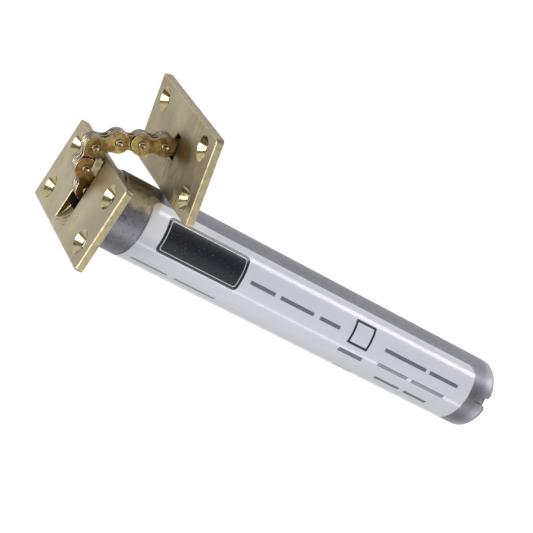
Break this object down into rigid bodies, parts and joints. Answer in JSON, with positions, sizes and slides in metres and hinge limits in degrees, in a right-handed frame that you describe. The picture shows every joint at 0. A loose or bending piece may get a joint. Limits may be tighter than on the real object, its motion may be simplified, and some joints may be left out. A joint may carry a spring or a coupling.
{
  "type": "concealed chain door closer",
  "caption": "Slim grey cylinder on a brass face plate, with a riveted plate chain that leaves a slot and bends back to a loose brass anchor plate.",
  "frame": {"origin": "centre of the face plate's front face, on the cylinder's axis", "axes": "+X along the cylinder into the door, +Z along the plates' long side and the chain pins, +Y towards the side on which the chain lies folded"},
  "size_m": [0.2269, 0.0722, 0.075],
  "materials": {
    "brass": "satin polished, bright bevels, worn around the chain slot",
    "cast_head": "dark cast surface",
    "dark_collar": "dark glossy",
    "tube_steel": "dull zinc-grey satin",
    "label_film": "glossy film",
    "turned_steel": "turned",
    "spring_steel": "oiled spring steel",
    "rod_chrome": "ground bright",
    "bush_bronze": "turned bronze",
    "seal_rubber": "black",
    "chain_plate": "yellow passivated and tarnished",
    "chain_pin": "riveted ends, yellow passivated",
    "keeper_plastic": "pale, slightly translucent"
  },
  "bodies": {
    "casing": {"face_plate": "brass", "head": "cast_head", "collar_ring": "dark_collar", "head_pins": "tube_steel", "tube": "tube_steel", "label": "label_film", "gland": "turned_steel", "gland_clip": "spring_steel", "gland_oring": "seal_rubber", "rod_bush": "bush_bronze", "rod_seal": "seal_rubber", "end_plug": "turned_steel", "end_oring": "seal_rubber"},
    "regulator": {"regulator": "bush_bronze"},
    "keeper": {"keeper": "keeper_plastic"},
    "rod": {"rod_fork": "turned_steel", "pull_rod": "rod_chrome", "piston": "turned_steel", "piston_seal": "seal_rubber", "piston_nut": "turned_steel", "valve_screw": "bush_bronze", "main_spring": "spring_steel", "link_1": "chain_plate", "link_1_pins": "chain_pin"},
    "check_ball": {"check_ball": "rod_chrome", "ball_spring": "spring_steel"},
    "chain_2": {"link_2": "chain_plate"},
    "chain_3": {"link_3": "chain_plate", "link_3_pins": "chain_pin"},
    "chain_4": {"link_4": "chain_plate"},
    "chain_5": {"link_5": "chain_plate", "link_5_pins": "chain_pin"},
    "chain_6": {"link_6": "chain_plate"},
    "chain_7": {"link_7": "chain_plate", "link_7_pins": "chain_pin"},
    "chain_8": {"link_8": "chain_plate"},
    "anchor": {"anchor_plate": "brass", "anchor_bracket": "cast_head", "anchor_pin": "chain_pin"}
  },
  "joints": [
    {"name": "rod_slide", "type": "slide", "parent": "casing", "child": "rod", "axis": [-1, 0, 0], "range_m": [0, 0.0065], "stiffness_N_per_m": 800, "springref_m": -0.06, "deforming": ["main_spring"]},
    {"name": "regulator_turn", "type": "hinge", "parent": "casing", "child": "regulator", "pos_m": [0.205, 0, 0], "axis": [1, 0, 0], "range_deg": [-270, 270]},
    {"name": "keeper_pull", "type": "slide", "parent": "casing", "child": "keeper", "axis": [0, 0, 1], "range_m": [0, 0.02]},
    {"name": "check_ball_lift", "type": "slide", "parent": "rod", "child": "check_ball", "axis": [1, 0, 0], "range_m": [0, 0.0008], "stiffness_N_per_m": 50, "springref_m": -0.002, "deforming": ["ball_spring"]},
    {"name": "link_2_hinge", "type": "hinge", "parent": "rod", "child": "chain_2", "pos_m": [0.01066, 0, 0], "axis": [0, 0, 1], "range_deg": [0, 15.8]},
    {"name": "link_3_hinge", "type": "hinge", "parent": "chain_2", "child": "chain_3", "pos_m": [0.0015, 0.00259, 0], "axis": [0, 0, 1], "range_deg": [0, 54.5]},
    {"name": "link_4_hinge", "type": "hinge", "parent": "chain_3", "child": "chain_4", "pos_m": [-0.00392, 0.01042, 0], "axis": [0, 0, 1], "range_deg": [0, 40.6]},
    {"name": "link_5_hinge", "type": "hinge", "parent": "chain_4", "child": "chain_5", "pos_m": [-0.00543, 0.01983, 0], "axis": [0, 0, 1], "range_deg": [0, 75.1]},
    {"name": "link_6_hinge", "type": "hinge", "parent": "chain_5", "child": "chain_6", "pos_m": [0.00197, 0.02582, 0], "axis": [0, 0, 1], "range_deg": [0, 31.8]},
    {"name": "link_7_hinge", "type": "hinge", "parent": "chain_6", "child": "chain_7", "pos_m": [0.01079, 0.02942, 0], "axis": [0, 0, 1], "range_deg": [0, 13.6]},
    {"name": "link_8_hinge", "type": "hinge", "parent": "chain_7", "child": "chain_8", "pos_m": [0.01952, 0.03324, 0], "axis": [0, 0, 1], "range_deg": [0, 24.3]},
    {"name": "anchor_hinge", "type": "hinge", "parent": "chain_8", "child": "anchor", "pos_m": [0.02875, 0.03559, 0], "axis": [0, 0, 1], "range_deg": [-8, 8]}
  ]
}
